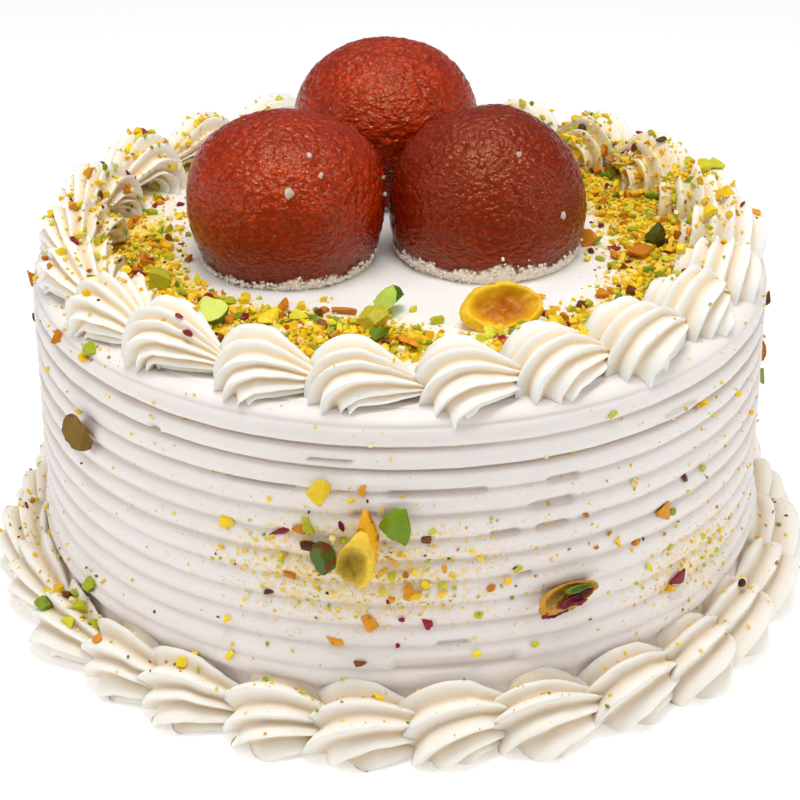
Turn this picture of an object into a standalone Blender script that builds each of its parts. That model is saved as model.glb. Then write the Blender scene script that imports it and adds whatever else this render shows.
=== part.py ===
"""A gulab jamun cake: a round whipped cream cake with a combed side, a border of piped shells round its
top edge and another round its foot, three gulab jamuns on the middle of the top, and large pistachio pieces.

Metres, +Z up. The origin is the centre of the flat underside, and the front of the cake faces -Y.
Angles round the cake are measured from the front and grow to the right, which is also the way that the
shells are piped. Each piece keeps TOUCH_GAP to the pieces it rests on.
"""

import math
import random

import bmesh
import bpy
from mathutils import Quaternion, Vector

TOUCH_GAP = 0.0003

# The cake itself
CAKE_RADIUS = 0.086
CAKE_HEIGHT = 0.0782
SHOULDER_RADIUS = 0.0035
COMB_PITCH = 0.00535
COMB_DEPTH = 0.0011
HIGHEST_GROOVE = 0.0713
CAKE_SEGMENTS = 48
CAKE_SHARP_DEGREES = 80

# The shells piped round the top edge
TOP_SHELLS = 22
TOP_RING_RADIUS = 0.0757
TOP_SHELL_WIDTH = 0.0215
TOP_SHELL_HEIGHT = 0.0125

# The shells piped round the foot, leaning on the side
FOOT_SHELLS = 28
FOOT_OUTER_RADIUS = 0.0980
FOOT_SHELL_HEIGHT = 0.0178

# The gulab jamuns: soft balls that have slumped. Each has the radius of its widest level, the heights of the
# dome above that level and of the part below it, the radius of the flat that it rests on, and its place.
JAMUNS = {
    "jamun_left": {
        "radius": 0.02325, "above": 0.0183, "below": 0.0166, "flat": 0.0190, "x": -0.0262, "y": -0.0045},
    "jamun_right": {
        "radius": 0.02325, "above": 0.0232, "below": 0.0112, "flat": 0.0206, "x": 0.0203, "y": 0.0008},
    "jamun_back": {
        "radius": 0.02275, "above": 0.0188, "below": 0.0185, "flat": 0.0180, "x": -0.0034, "y": 0.0406},
}

# Large pistachio pieces: a part of the kernel, and sizes in metres.
# On the top: place (x, y), size (long, wide, thick) and turn in degrees.
TOP_NUTS = {
    "kernel_front": ("pistachio_kernel", (0.0218, -0.0405), (0.0175, 0.0105, 0.0066), 12),
    "chunk_front": ("pistachio_green", (-0.0023, -0.0345), (0.0085, 0.0066, 0.0050), 70),
    "chunk_edge": ("pistachio_green", (-0.0060, -0.0440), (0.0074, 0.0066, 0.0056), 20),
    "sliver_left": ("pistachio_green", (-0.0418, -0.0408), (0.0100, 0.0056, 0.0050), -38),
    "chunk_left": ("pistachio_green", (-0.0540, -0.0222), (0.0062, 0.0054, 0.0046), 30),
    "chunk_right": ("pistachio_green", (0.0600, 0.0010), (0.0064, 0.0052, 0.0060), 80),
}
# On the side: angle round the cake, height, size (across, upright, thick) and lean in degrees.
SIDE_NUTS = {
    "side_left": ("pistachio_skin", -52.6, 0.0580, (0.0068, 0.0092, 0.0050), 18),
    "side_cube": ("pistachio_kernel", -11.0, 0.0615, (0.0054, 0.0054, 0.0038), 8),
    "side_dark": ("pistachio_green", -10.7, 0.0462, (0.0046, 0.0078, 0.0032), 24),
    "side_kernel": ("pistachio_kernel", -5.4, 0.0502, (0.0100, 0.0134, 0.0056), -10),
    "side_flake": ("pistachio_green", -0.4, 0.0552, (0.0068, 0.0088, 0.0030), -30),
    "side_half": ("pistachio_skin", 24.2, 0.0328, (0.0145, 0.0066, 0.0048), 8),
}

NUT_SHARP_DEGREES = 35

# Colours are linear
FINISHES = {
    "cream": {"colour": (0.87, 0.83, 0.76), "roughness": 0.55},
    "jamun": {"colour": (0.33, 0.065, 0.022), "roughness": 0.30},
    "pistachio_kernel": {"colour": (0.72, 0.47, 0.06), "roughness": 0.50},
    "pistachio_green": {"colour": (0.28, 0.36, 0.05), "roughness": 0.50},
    "pistachio_skin": {"colour": (0.22, 0.11, 0.05), "roughness": 0.50},
}


def clear_scene():
    for old in list(bpy.data.objects):
        bpy.data.objects.remove(old, do_unlink=True)


def finish_material(piece, finish):
    """A Principled material of the piece's own."""
    look = FINISHES[finish]
    material = bpy.data.materials.new(piece.name + "_" + finish)
    material.use_nodes = True
    shader = material.node_tree.nodes["Principled BSDF"]
    shader.inputs["Base Color"].default_value = (*look["colour"], 1.0)
    shader.inputs["Roughness"].default_value = look["roughness"]
    shader.inputs["Metallic"].default_value = 0.0
    piece.data.materials.append(material)


def add_piece(name, shape, finish, parent, location=(0, 0, 0), turn=0.0, sharp_degrees=60):
    """Makes an object from a bmesh, closed with its faces out, and stands it in its place on the cake."""
    bmesh.ops.recalc_face_normals(shape, faces=shape.faces)
    mesh = bpy.data.meshes.new(name)
    shape.to_mesh(mesh)
    shape.free()
    mesh.shade_smooth()
    mesh.set_sharp_from_angle(angle=math.radians(sharp_degrees))
    piece = bpy.data.objects.new(name, mesh)
    bpy.context.scene.collection.objects.link(piece)
    piece.location = location
    piece.rotation_euler = (0, 0, turn)
    piece.parent = parent
    finish_material(piece, finish)
    return piece


def close_rings(shape, rings):
    """Joins neighbouring rings of points, each a closed loop of the same length, with four-sided faces."""
    for lower, upper in zip(rings, rings[1:]):
        count = len(lower)
        for i in range(count):
            after = (i + 1) % count
            shape.faces.new((lower[i], lower[after], upper[after], upper[i]))


def turned(profile, segments):
    """A solid turned about Z from (radius, height) points, bottom to top, with a flat cap at each end."""
    shape = bmesh.new()
    rings = []
    for radius, height in profile:
        ring = []
        for i in range(segments):
            angle = 2 * math.pi * i / segments
            ring.append(shape.verts.new((radius * math.cos(angle), radius * math.sin(angle), height)))
        rings.append(ring)
    close_rings(shape, rings)
    shape.faces.new(rings[0])
    shape.faces.new(rings[-1])
    return shape


def cake_profile():
    """Up the side: round ridges left by a cake comb with narrow grooves between, then a round shoulder."""
    points = [(CAKE_RADIUS - 0.002, 0.0), (CAKE_RADIUS - 0.0005, 0.001)]
    grooves = int(HIGHEST_GROOVE / COMB_PITCH) + 1
    for step in reversed(range(grooves)):
        height = HIGHEST_GROOVE - step * COMB_PITCH
        points.append((CAKE_RADIUS - COMB_DEPTH, height))
        if step:
            points.append((CAKE_RADIUS, height + 0.35 * COMB_PITCH))
    shoulder_base = CAKE_HEIGHT - SHOULDER_RADIUS
    for degrees in (0, 45, 90):
        bend = math.radians(degrees)
        radius = CAKE_RADIUS - SHOULDER_RADIUS * (1 - math.cos(bend))
        points.append((radius, shoulder_base + SHOULDER_RADIUS * math.sin(bend)))
    return points


def round_the_cake(radius, angle, height):
    """A point at this angle from the front."""
    return Vector((radius * math.sin(angle), -radius * math.cos(angle), height))


def shell_size(part_way):
    """Size along one shell: a plump head just after its start, then a long taper to the tail."""
    head = 0.22
    if part_way < head:
        return 0.74 + 0.26 * math.sin(0.5 * math.pi * part_way / head)
    return 1.0 - 0.40 * ((part_way - head) / (1 - head)) ** 1.3


def piped_ring(shells, steps, section):
    """A ring of shells piped nose to tail; section(size) gives a (radius, height) loop at each step."""
    shape = bmesh.new()
    rings = []
    for i in range(shells * steps):
        angle = 2 * math.pi * i / (shells * steps)
        size = shell_size((i % steps) / steps)
        loop = [round_the_cake(radius, angle, height) for radius, height in section(size)]
        rings.append([shape.verts.new(point) for point in loop])
    close_rings(shape, rings + rings[:1])
    return shape


def top_section(size):
    """Flat underneath and domed above, with the lobes of a star tip."""
    base = CAKE_HEIGHT + TOUCH_GAP
    half_width = 0.5 * TOP_SHELL_WIDTH * (0.55 + 0.45 * size)
    height = TOP_SHELL_HEIGHT * size
    loop = [(TOP_RING_RADIUS - 0.82 * half_width, base), (TOP_RING_RADIUS + 0.82 * half_width, base)]
    lobes = 9
    for k in range(lobes):
        bend = math.pi * (k + 0.5) / lobes
        crest = 1.0 if k % 2 == 0 else 0.91
        reach = half_width * crest * math.cos(bend)
        loop.append((TOP_RING_RADIUS + reach, base + height * crest * math.sin(bend)))
    return loop


def foot_section(size):
    """Flat underneath, upright against the cake's side, and lobed outside."""
    inner = CAKE_RADIUS + TOUCH_GAP
    width = (FOOT_OUTER_RADIUS - inner) * (0.45 + 0.55 * size)
    height = FOOT_SHELL_HEIGHT * size
    loop = [(inner, 0.0), (inner + 0.80 * width, 0.0)]
    lobes = 7
    lowest = math.radians(16)
    highest = math.radians(84)
    for k in range(lobes):
        bend = lowest + (highest - lowest) * k / (lobes - 1)
        crest = 1.0 if k % 2 == 0 else 0.92
        reach = min(1.0, 1.02 * math.cos(bend) + 0.08)
        loop.append((inner + width * crest * reach, height * crest * math.sin(bend)))
    loop.append((inner, height * 0.93))
    return loop


def jamun_profile(jamun):
    """Half the outline of a slumped ball, from the rim of the flat underneath up to near the top."""
    radius = jamun["radius"]
    narrowing = math.sqrt(1 - (jamun["flat"] / radius) ** 2)
    lower_steps = 4
    upper_steps = 5
    points = []
    for i in range(lower_steps):
        down = 1 - i / lower_steps
        points.append((radius * math.sqrt(1 - (narrowing * down) ** 2), jamun["below"] * (1 - down)))
    for i in range(upper_steps + 1):
        rise = math.radians(80) * i / upper_steps
        points.append((radius * math.cos(rise), jamun["below"] + jamun["above"] * math.sin(rise)))
    return points


def nut_shape(length, width, thickness, seed):
    """A chopped piece: an uneven outline, flat underneath, swelling and then closing to a rough top."""
    dice = random.Random(seed)
    corners = 9
    shape = bmesh.new()
    levels = [(0.0, 0.80), (0.35, 1.0), (0.80, 0.74)]
    wobble = [1 - 0.18 * dice.random() for _ in range(corners)]
    rings = []
    for height, spread in levels:
        ring = []
        for i in range(corners):
            angle = 2 * math.pi * i / corners
            reach = spread * wobble[i] * (1 - 0.06 * dice.random())
            x = 0.5 * length * reach * math.cos(angle)
            y = 0.5 * width * reach * math.sin(angle)
            ring.append(shape.verts.new((x, y, thickness * height)))
        rings.append(ring)
    close_rings(shape, rings)
    shape.faces.new(rings[0])
    peak = shape.verts.new((0.08 * length, 0.06 * width, thickness))
    for i in range(corners):
        shape.faces.new((rings[-1][i], rings[-1][(i + 1) % corners], peak))
    return shape


def add_top_nut(name, seed, parent):
    finish, (x, y), size, turn = TOP_NUTS[name]
    resting = (x, y, CAKE_HEIGHT + TOUCH_GAP)
    add_piece(name, nut_shape(*size, seed), finish, parent, resting, math.radians(turn), NUT_SHARP_DEGREES)


def add_side_nut(name, seed, parent):
    """The piece's flat underside faces the cake, so its thickness points out from the side."""
    finish, degrees, height, size, lean_degrees = SIDE_NUTS[name]
    angle = math.radians(degrees)
    against = round_the_cake(CAKE_RADIUS + TOUCH_GAP, angle, height)
    piece = add_piece(name, nut_shape(*size, seed), finish, parent, against, 0.0, NUT_SHARP_DEGREES)
    outward = round_the_cake(1.0, angle, 0.0)
    lean = Quaternion((0, 0, 1), math.radians(lean_degrees))
    piece.rotation_mode = "QUATERNION"
    piece.rotation_quaternion = outward.to_track_quat("Z", "Y") @ lean


def build():
    clear_scene()
    whole = bpy.data.objects.new("gulab_jamun_cake", None)
    bpy.context.scene.collection.objects.link(whole)

    add_piece("cake", turned(cake_profile(), CAKE_SEGMENTS), "cream", whole, sharp_degrees=CAKE_SHARP_DEGREES)
    add_piece("top_border", piped_ring(TOP_SHELLS, 5, top_section), "cream", whole)
    add_piece("foot_border", piped_ring(FOOT_SHELLS, 5, foot_section), "cream", whole)
    for name, jamun in JAMUNS.items():
        resting = (jamun["x"], jamun["y"], CAKE_HEIGHT + TOUCH_GAP)
        add_piece(name, turned(jamun_profile(jamun), 18), "jamun", whole, resting)
    for seed, name in enumerate(TOP_NUTS, start=1):
        add_top_nut(name, seed, whole)
    for seed, name in enumerate(SIDE_NUTS, start=21):
        add_side_nut(name, seed, whole)


build()
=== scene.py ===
"""A gulab jamun cake: a round whipped cream cake, combed round its side, with shells of cream piped round its top
edge and its foot, three gulab jamuns on top, and chopped pistachio scattered over it. Metres, +Z up, front at -Y.
"""

import math
import random

import bmesh
import bpy
import numpy as np
from mathutils import Matrix, Vector, noise
from mathutils.bvhtree import BVHTree


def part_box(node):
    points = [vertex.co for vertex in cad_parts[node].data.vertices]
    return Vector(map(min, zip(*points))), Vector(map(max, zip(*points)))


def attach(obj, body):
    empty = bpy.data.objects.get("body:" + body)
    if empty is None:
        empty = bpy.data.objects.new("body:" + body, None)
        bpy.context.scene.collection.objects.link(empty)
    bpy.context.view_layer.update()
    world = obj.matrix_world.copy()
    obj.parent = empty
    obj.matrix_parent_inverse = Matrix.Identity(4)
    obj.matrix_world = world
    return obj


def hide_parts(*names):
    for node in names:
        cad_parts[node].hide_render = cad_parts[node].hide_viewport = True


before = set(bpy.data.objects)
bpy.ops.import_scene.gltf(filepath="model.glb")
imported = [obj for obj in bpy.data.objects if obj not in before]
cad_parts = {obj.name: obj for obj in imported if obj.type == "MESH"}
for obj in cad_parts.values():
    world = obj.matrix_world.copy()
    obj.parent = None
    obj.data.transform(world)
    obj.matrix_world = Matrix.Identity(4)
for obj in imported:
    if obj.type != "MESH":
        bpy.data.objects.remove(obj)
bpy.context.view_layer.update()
MM = 0.001

# ------------------------------------------------------------------------------------------------------------
# The side of the cake. Sweetened whipped cream spread over the sponge, then drawn round with a toothed comb, which
# leaves soft ridges with narrow grooves. Where the cream was short, the comb tore long shallow hollows.
# ------------------------------------------------------------------------------------------------------------
cake_low, cake_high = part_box("cake")
CAKE_RADIUS = cake_high.x
CAKE_TOP = cake_high.z
COMB_PITCH = 5.35 * MM
TOP_GROOVE = CAKE_TOP - 6.9 * MM
GROOVES = 14
SIDE_COLUMNS = 520
SHOULDER = 3.6 * MM
SIDE_EDGE = 8 * MM
FOOT_COVER = 13 * MM

# Torn hollows: middle of each in degrees from the front, groove counted from the top, length and height in mm
HOLLOWS = [
    (-20, 2, 15, 0.9),
    (5, 2, 21, 1.5),
    (23.5, 2, 7.5, 1.7),
    (22, 3, 10, 2.2),
    (22, 4, 7, 1.4),
    (15, 4, 6.5, 1.6),
    (18, 6, 3.6, 0.9),
    (7.5, 8.8, 7, 1.3),
    (8, 9.75, 28, 2.6),
    (-9.5, 0.5, 9, 0.8),
    (-5, 2.9, 5.5, 1.6),
    (-37.5, 0.8, 3.2, 1.9),
    (-42, 0.05, 5, 1.6),
    (44.5, 0.6, 10, 1.5),
    (96, 3, 12, 1.6),
    (140, 2, 20, 1.5),
    (150, 5, 9, 1.7),
    (186, 4, 14, 1.5),
    (231, 2, 18, 1.4),
    (250, 6, 8, 1.6),
    (285, 3, 10, 1.3),
]

# Handfuls of nuts that hit the side: middle in degrees and mm up, spread of each, and share of the crumbs
SIDE_HANDFULS = [
    ((-8, 42), (11, 8), 0.40),
    ((50, 27), (9, 6), 0.16),
    ((58, 56), (14, 14), 0.08),
    ((16, 42), (16, 14), 0.14),
    ((-40, 58), (20, 12), 0.04),
    ((-95, 30), (9, 14), 0.12),
    ((98, 36), (9, 14), 0.09),
    ((0, 40), (180, 22), 0.10),
]


def linear(hex_colour):
    """An sRGB hex colour as the linear RGBA that the shaders read."""
    channels = [int(hex_colour[i:i + 2], 16) / 255 for i in (1, 3, 5)]
    return (*[c / 12.92 if c <= 0.04045 else ((c + 0.055) / 1.055) ** 2.4 for c in channels], 1.0)


def add_node(material, kind, values=None, inputs=None):
    """Adds a node with its own values, and its inputs, each given as a value or as the socket that feeds it."""
    node = material.node_tree.nodes.new("ShaderNode" + kind)
    for name, value in (values or {}).items():
        setattr(node, name, value)
    for socket, value in (inputs or {}).items():
        if isinstance(value, bpy.types.NodeSocket):
            material.node_tree.links.new(value, node.inputs[socket])
        else:
            node.inputs[socket].default_value = value
    return node


def new_material(name):
    material = bpy.data.materials.new(name)
    material.use_nodes = True
    material.node_tree.nodes.clear()
    return material


def unevenness(points, size, seed, detail=3):
    """Smooth noise from about -1 to 1 at each point, with lumps of this size in metres."""
    shift = Vector((seed * 17.13, seed * 5.71, seed * 9.37))
    return np.array([noise.fractal(Vector(p) / size + shift, 1.0, 2.0, detail) for p in points])


def ring_wave(angles, seed, lobes=7):
    """A wave from about -1 to 1 that closes on itself round the cake."""
    dice = random.Random(seed)
    total = np.zeros_like(angles)
    for lobe in range(1, lobes + 1):
        total += dice.uniform(0.4, 1.0) * np.sin(lobe * angles + dice.uniform(0, 2 * math.pi)) / lobe ** 0.5
    return total / 2.2


def grid_faces(rows, columns):
    """Faces of a grid that closes round on itself, with a fan at each end to the two points after the grid."""
    index = np.arange(rows * columns).reshape(rows, columns)
    index = np.concatenate([index, index[:, :1]], axis=1)
    corners = np.stack([index[:-1, :-1], index[:-1, 1:], index[1:, 1:], index[1:, :-1]], axis=-1)
    faces = corners.reshape(-1, 4).tolist()
    for i in range(columns):
        faces.append([rows * columns, index[0, i + 1], index[0, i]])
        faces.append([rows * columns + 1, index[-1, i], index[-1, i + 1]])
    return faces


def closed_grid(grid):
    """The points and faces of a grid, rows by columns, closed round and at both ends."""
    ends = np.stack([grid[0].mean(axis=0), grid[-1].mean(axis=0)])
    return np.concatenate([grid.reshape(-1, 3), ends]), grid_faces(*grid.shape[:2])


def joined(name, shapes, smooth_below=180):
    """One piece from shapes, each given as its points and faces; edges sharper than the angle stay crisp."""
    points = []
    faces = []
    count = 0
    for shape_points, shape_faces in shapes:
        points.append(shape_points)
        faces += [[corner + count for corner in face] for face in shape_faces]
        count += len(shape_points)
    mesh = bpy.data.meshes.new(name)
    mesh.from_pydata(np.concatenate(points).tolist(), [], faces)
    mesh.shade_smooth()
    if smooth_below < 180:
        mesh.set_sharp_from_angle(angle=math.radians(smooth_below))
    piece = bpy.data.objects.new(name, mesh)
    bpy.context.scene.collection.objects.link(piece)
    return piece


def mark(piece, name, values):
    """Keeps one number for each point of the mesh, for its material to read."""
    piece.data.attributes.new(name, "FLOAT", "POINT").data.foreach_set("value", np.asarray(values, np.float32))


def mark_grid(piece, name, values):
    """The same for a closed grid, whose two end points take nothing."""
    mark(piece, name, np.append(np.asarray(values).ravel(), [0, 0]))


def round_the_cake(radius, angle, height):
    """Points at these angles from the front, growing to the right."""
    return np.stack([radius * np.sin(angle), -radius * np.cos(angle), height + 0 * angle], axis=-1)


def side_rows():
    """Heights of the rows up the side, close together in each groove, with the groove that each belongs to."""
    across_groove = [-0.5, -0.36, -0.23, -0.14, -0.08, -0.03, 0.03, 0.08, 0.14, 0.24, 0.37]
    rows = [(0.0, GROOVES, -0.5)]
    for groove in reversed(range(GROOVES)):
        middle = TOP_GROOVE - groove * COMB_PITCH
        steps = across_groove if middle > FOOT_COVER else [-0.5, 0.0]
        rows += [(middle + step * COMB_PITCH, groove, step) for step in steps]
    return [row for row in rows if row[0] >= 0.0]


def comb_depth(groove, angles):
    """How deep the comb cut this groove round the cake: deepest near the top, faint lower down."""
    usual = [1.5, 1.6, 0.9, 0.65, 0.6, 0.6, 0.5, 0.45, 0.45, 0.4][min(groove, 9)] * MM
    return usual * np.clip(0.85 + 0.5 * ring_wave(angles, 100 + groove), 0.25, 1.4)


def hollow_depth(angles, groove, step):
    """The torn hollows: flat-bottomed slots with round ends and a lip along their lower edge."""
    depth = np.zeros_like(angles)
    for degrees, at_groove, length, height in HOLLOWS:
        from_groove = (groove - at_groove) - step
        drop = from_groove * COMB_PITCH / MM
        along = (angles - math.radians(degrees) + math.pi) % (2 * math.pi) - math.pi
        along = along * CAKE_RADIUS / MM
        beyond = np.maximum(np.abs(along) - 0.5 * (length - height), 0)
        reach = np.hypot(beyond, drop) / (0.5 * height)
        depth += 0.85 * MM * np.clip((1.3 - reach) / 0.5, 0, 1)
        lip = np.exp(-((reach - 1.75) / 0.35) ** 2) * (0.9 if drop > 0 else 0.3)
        depth -= 0.30 * MM * lip
    return depth


def crumb_cover(handfuls, angles, far):
    """How thickly the crumbs of these handfuls lie, from 0 up to nearly 1 in the thickest heap."""
    cover = 0
    for (degrees, middle), (turn_spread, spread), share in handfuls:
        turned = (np.degrees(angles) - degrees + 180) % 360 - 180
        beyond = far / MM - middle
        thickest = share * 560 / (turn_spread * spread)
        cover = cover + thickest * np.exp(-0.5 * (turned / turn_spread) ** 2 - 0.5 * (beyond / spread) ** 2)
    return 1 - np.exp(-cover)


around = np.linspace(0, 2 * math.pi, SIDE_COLUMNS, endpoint=False)
side_grid = []
groove_shade = []
for height, groove, step in side_rows():
    slope = ring_wave(around, 3, 3) * 0.55 * MM + ring_wave(around, 20 + groove) * 0.32 * MM
    lift = slope * min(1.0, max(0.0, (height - 4 * MM) / (20 * MM))) * min(1.0, (CAKE_TOP - height) / (8 * MM))
    groove_width = 0.085 if groove < 3 else 0.19
    cut = comb_depth(groove, around) * np.exp(-(abs(step) / groove_width) ** 1.4)
    swell = (0.62 if groove < 6 else 0.5) * MM * (1 - abs(2 * step)) ** 1.5
    bulge = 0.25 * MM * ring_wave(around + height * 20, 7, 5)
    torn = hollow_depth(around, groove, step)
    dragged = np.clip(0.55 + 0.75 * ring_wave(around, 51, 12), 0, 1.3) * math.exp(-((height / MM - 17) / 3.4) ** 2)
    radius = CAKE_RADIUS - 0.2 * MM - cut - swell + bulge - torn + 2.2 * MM * dragged
    side_grid.append(round_the_cake(radius, around, height + lift))
    groove_shade.append((cut + 0.45 * np.maximum(torn, 0)) / MM)
for degrees in (0, 10, 17, 24, 31, 40, 52, 65, 78, 90):
    bend = math.radians(degrees)
    dent = 0.55 * MM * math.exp(-((degrees - 24) / 7) ** 2) * np.clip(0.8 + 0.6 * ring_wave(around, 33), 0.1, 1.4)
    soft = 0.35 * MM * ring_wave(around, 31)
    radius = CAKE_RADIUS - 0.3 * MM + soft - dent - SHOULDER * (1 - math.cos(bend))
    side_grid.append(round_the_cake(radius, around, CAKE_TOP - SHOULDER * (1 - math.sin(bend))))
    groove_shade.append(dent / MM)
side_grid.append(round_the_cake(CAKE_RADIUS - SHOULDER - SIDE_EDGE + 0 * around, around, CAKE_TOP - 0.5 * MM))
groove_shade.append(0 * around)
side_grid = np.array(side_grid)
outward = np.stack([np.sin(around), -np.cos(around), 0 * around], axis=-1)
drawn_flat = side_grid.reshape(-1, 3) * np.array([0.16, 0.16, 1.0])
rough = unevenness(drawn_flat, 1.1 * MM, 5) + 0.8 * unevenness(side_grid.reshape(-1, 3), 7 * MM, 6)
side_grid += rough.reshape(side_grid.shape[:2])[..., None] * outward * 0.13 * MM
combed_side = joined("combed_side", [closed_grid(side_grid)])
side_cover = crumb_cover(SIDE_HANDFULS, around[None, :], side_grid[..., 2])
mark_grid(combed_side, "dusted", np.clip(side_cover * 0.33, 0, 0.29))
# Painted shade: the grooves, the torn hollows and the shoulder dent are coloured darker the deeper they are.
mark_grid(combed_side, "crease_shade", np.clip(np.array(groove_shade), 0, 1.6) * 0.62)


def whipped_cream(name, lit, crease_shade, stain, grain_mm, streaks):
    """Whipped dairy cream, spread or piped: bright and matt, light soaks a little way in; painted ivory shade in
    creases.
    """
    material = new_material(name)
    place = add_node(material, "TexCoord").outputs["Object"]
    stretch = (0.10, 0.10, 1.0) if streaks else (1, 1, 1)
    drawn = add_node(material, "Mapping", {"vector_type": "POINT"}, {"Vector": place, "Scale": stretch})
    bubbles = add_node(material, "TexNoise", None, {
        "Vector": drawn.outputs["Vector"], "Scale": 1 / (grain_mm * MM), "Detail": 3.0, "Roughness": 0.6})
    swirls = add_node(material, "TexNoise", None, {"Vector": place, "Scale": 1 / (14 * MM), "Detail": 2.0})
    # Painted shade: the crease value mixes the lit colour towards the darker crease colour in grooves and valleys.
    fold_shade = add_node(material, "Attribute", {"attribute_name": "crease_shade"})
    lit_and_fold_shade = add_node(material, "Mix", {"data_type": "RGBA"}, {
        0: fold_shade.outputs["Fac"], 6: linear(lit), 7: linear(crease_shade)})
    patchy = add_node(material, "Mix", {"data_type": "RGBA", "blend_type": "MULTIPLY"}, {
        0: 0.05, 6: lit_and_fold_shade.outputs[2], 7: swirls.outputs["Fac"]})
    dusted = add_node(material, "Attribute", {"attribute_name": "dusted"})
    specks = add_node(material, "TexNoise", None, {
        "Vector": place, "Scale": 1 / (1.3 * MM), "Detail": 3.0, "Roughness": 0.65})
    dust_here = add_node(material, "Math", {"operation": "ADD"}, {
        0: specks.outputs["Fac"], 1: dusted.outputs["Fac"]})
    dust_edge = add_node(material, "MapRange", None, {
        "Value": dust_here.outputs["Value"], "From Min": 0.68, "From Max": 0.98, "To Min": 0.0, "To Max": 0.95})
    stained = add_node(material, "Mix", {"data_type": "RGBA"}, {
        0: dust_edge.outputs["Result"], 6: patchy.outputs[2], 7: linear(stain)})
    bump = add_node(material, "Bump", None, {
        "Strength": 0.5 if streaks else 0.16, "Distance": 0.25 * MM, "Height": bubbles.outputs["Fac"]})
    shader = add_node(material, "BsdfPrincipled", {"subsurface_method": "RANDOM_WALK"}, {
        "Base Color": stained.outputs[2], "Roughness": 0.50, "IOR": 1.40, "Specular IOR Level": 0.35,
        "Subsurface Weight": 0.30, "Subsurface Radius": (1.0, 0.75, 0.5), "Subsurface Scale": 1.4 * MM,
        "Normal": bump.outputs["Normal"]})
    add_node(material, "OutputMaterial", None, {"Surface": shader.outputs["BSDF"]})
    return material


spread_cream = whipped_cream("spread_whipped_cream", "#F5EEEA", "#D2C0B2", "#F4D040", 0.8, streaks=True)
combed_side.data.materials.append(spread_cream)
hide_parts("cake")
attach(combed_side, "root")

# ------------------------------------------------------------------------------------------------------------
# The top of the cake. The same cream, levelled with a long spatula, which leaves low waves and a faint edge. It
# reaches under the piped border. The nut dust has stained it yellow where the crumbs lie thick.
# ------------------------------------------------------------------------------------------------------------
TOP_COLUMNS = 180
TOP_REACH = CAKE_RADIUS - SHOULDER - 2 * MM

# Handfuls of crumbs on the top: middle in degrees from the front and mm from the centre, spread of each, and share
TOP_HANDFULS = [
    ((122, 64), (19, 8), 0.25),
    ((92, 60), (13, 7), 0.12),
    ((68, 60), (10, 6), 0.06),
    ((150, 67), (12, 7), 0.07),
    ((-74, 61), (13, 7), 0.15),
    ((-99, 64), (11, 7), 0.07),
    ((-50, 57), (10, 6), 0.11),
    ((-24, 52), (12, 6), 0.21),
    ((-4, 50), (8, 5.5), 0.12),
    ((33, 56), (12, 5), 0.10),
    ((180, 68), (22, 6), 0.04),
    ((-142, 71), (16, 6), 0.06),
    ((0, 64), (180, 9), 0.03),
    ((-82, 76), (18, 5), 0.05),
    ((-125, 76), (12, 4), 0.03),
    ((118, 76), (22, 5), 0.08),
]


top_rings = np.append(1.0, np.linspace(1.0, 0.02, 50))
top_around = np.linspace(0, 2 * math.pi, TOP_COLUMNS, endpoint=False)
top_grid = np.array([round_the_cake(TOP_REACH * part, top_around, CAKE_TOP) for part in top_rings])
waves = unevenness(top_grid.reshape(-1, 3) * np.array([1.0, 0.45, 1.0]), 9 * MM, 11).reshape(top_grid.shape[:2])
fade = np.clip((1 - top_rings) * 12, 0, 1)[:, None]
top_grid[..., 2] += 0.30 * MM * waves * fade + 0.12 * MM
top_grid[0, :, 2] -= 1.5 * MM
levelled_top = joined("levelled_top", [closed_grid(top_grid)])
top_cover = crumb_cover(TOP_HANDFULS, top_around[None, :], TOP_REACH * top_rings[:, None])
mark_grid(levelled_top, "crease_shade", 0 * top_cover)
mark_grid(levelled_top, "dusted", top_cover)
levelled_cream = whipped_cream("levelled_whipped_cream", "#FFFBF6", "#F0DFC4", "#FAD836", 2.4, streaks=False)
levelled_top.data.materials.append(levelled_cream)
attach(levelled_top, "root")

# ------------------------------------------------------------------------------------------------------------
# The border of shells on the top edge. Each is whipped cream pressed from a closed star nozzle: a fat head that
# swells up from the cake with a fin for each tooth of the nozzle, pulled over and down to a thin tail, which the
# next head covers.
# ------------------------------------------------------------------------------------------------------------
TOP_SHELLS = 22
TOP_RING_RADIUS = 74.9 * MM
TOP_SHELL_TURN = math.radians(-8.0)


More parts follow.
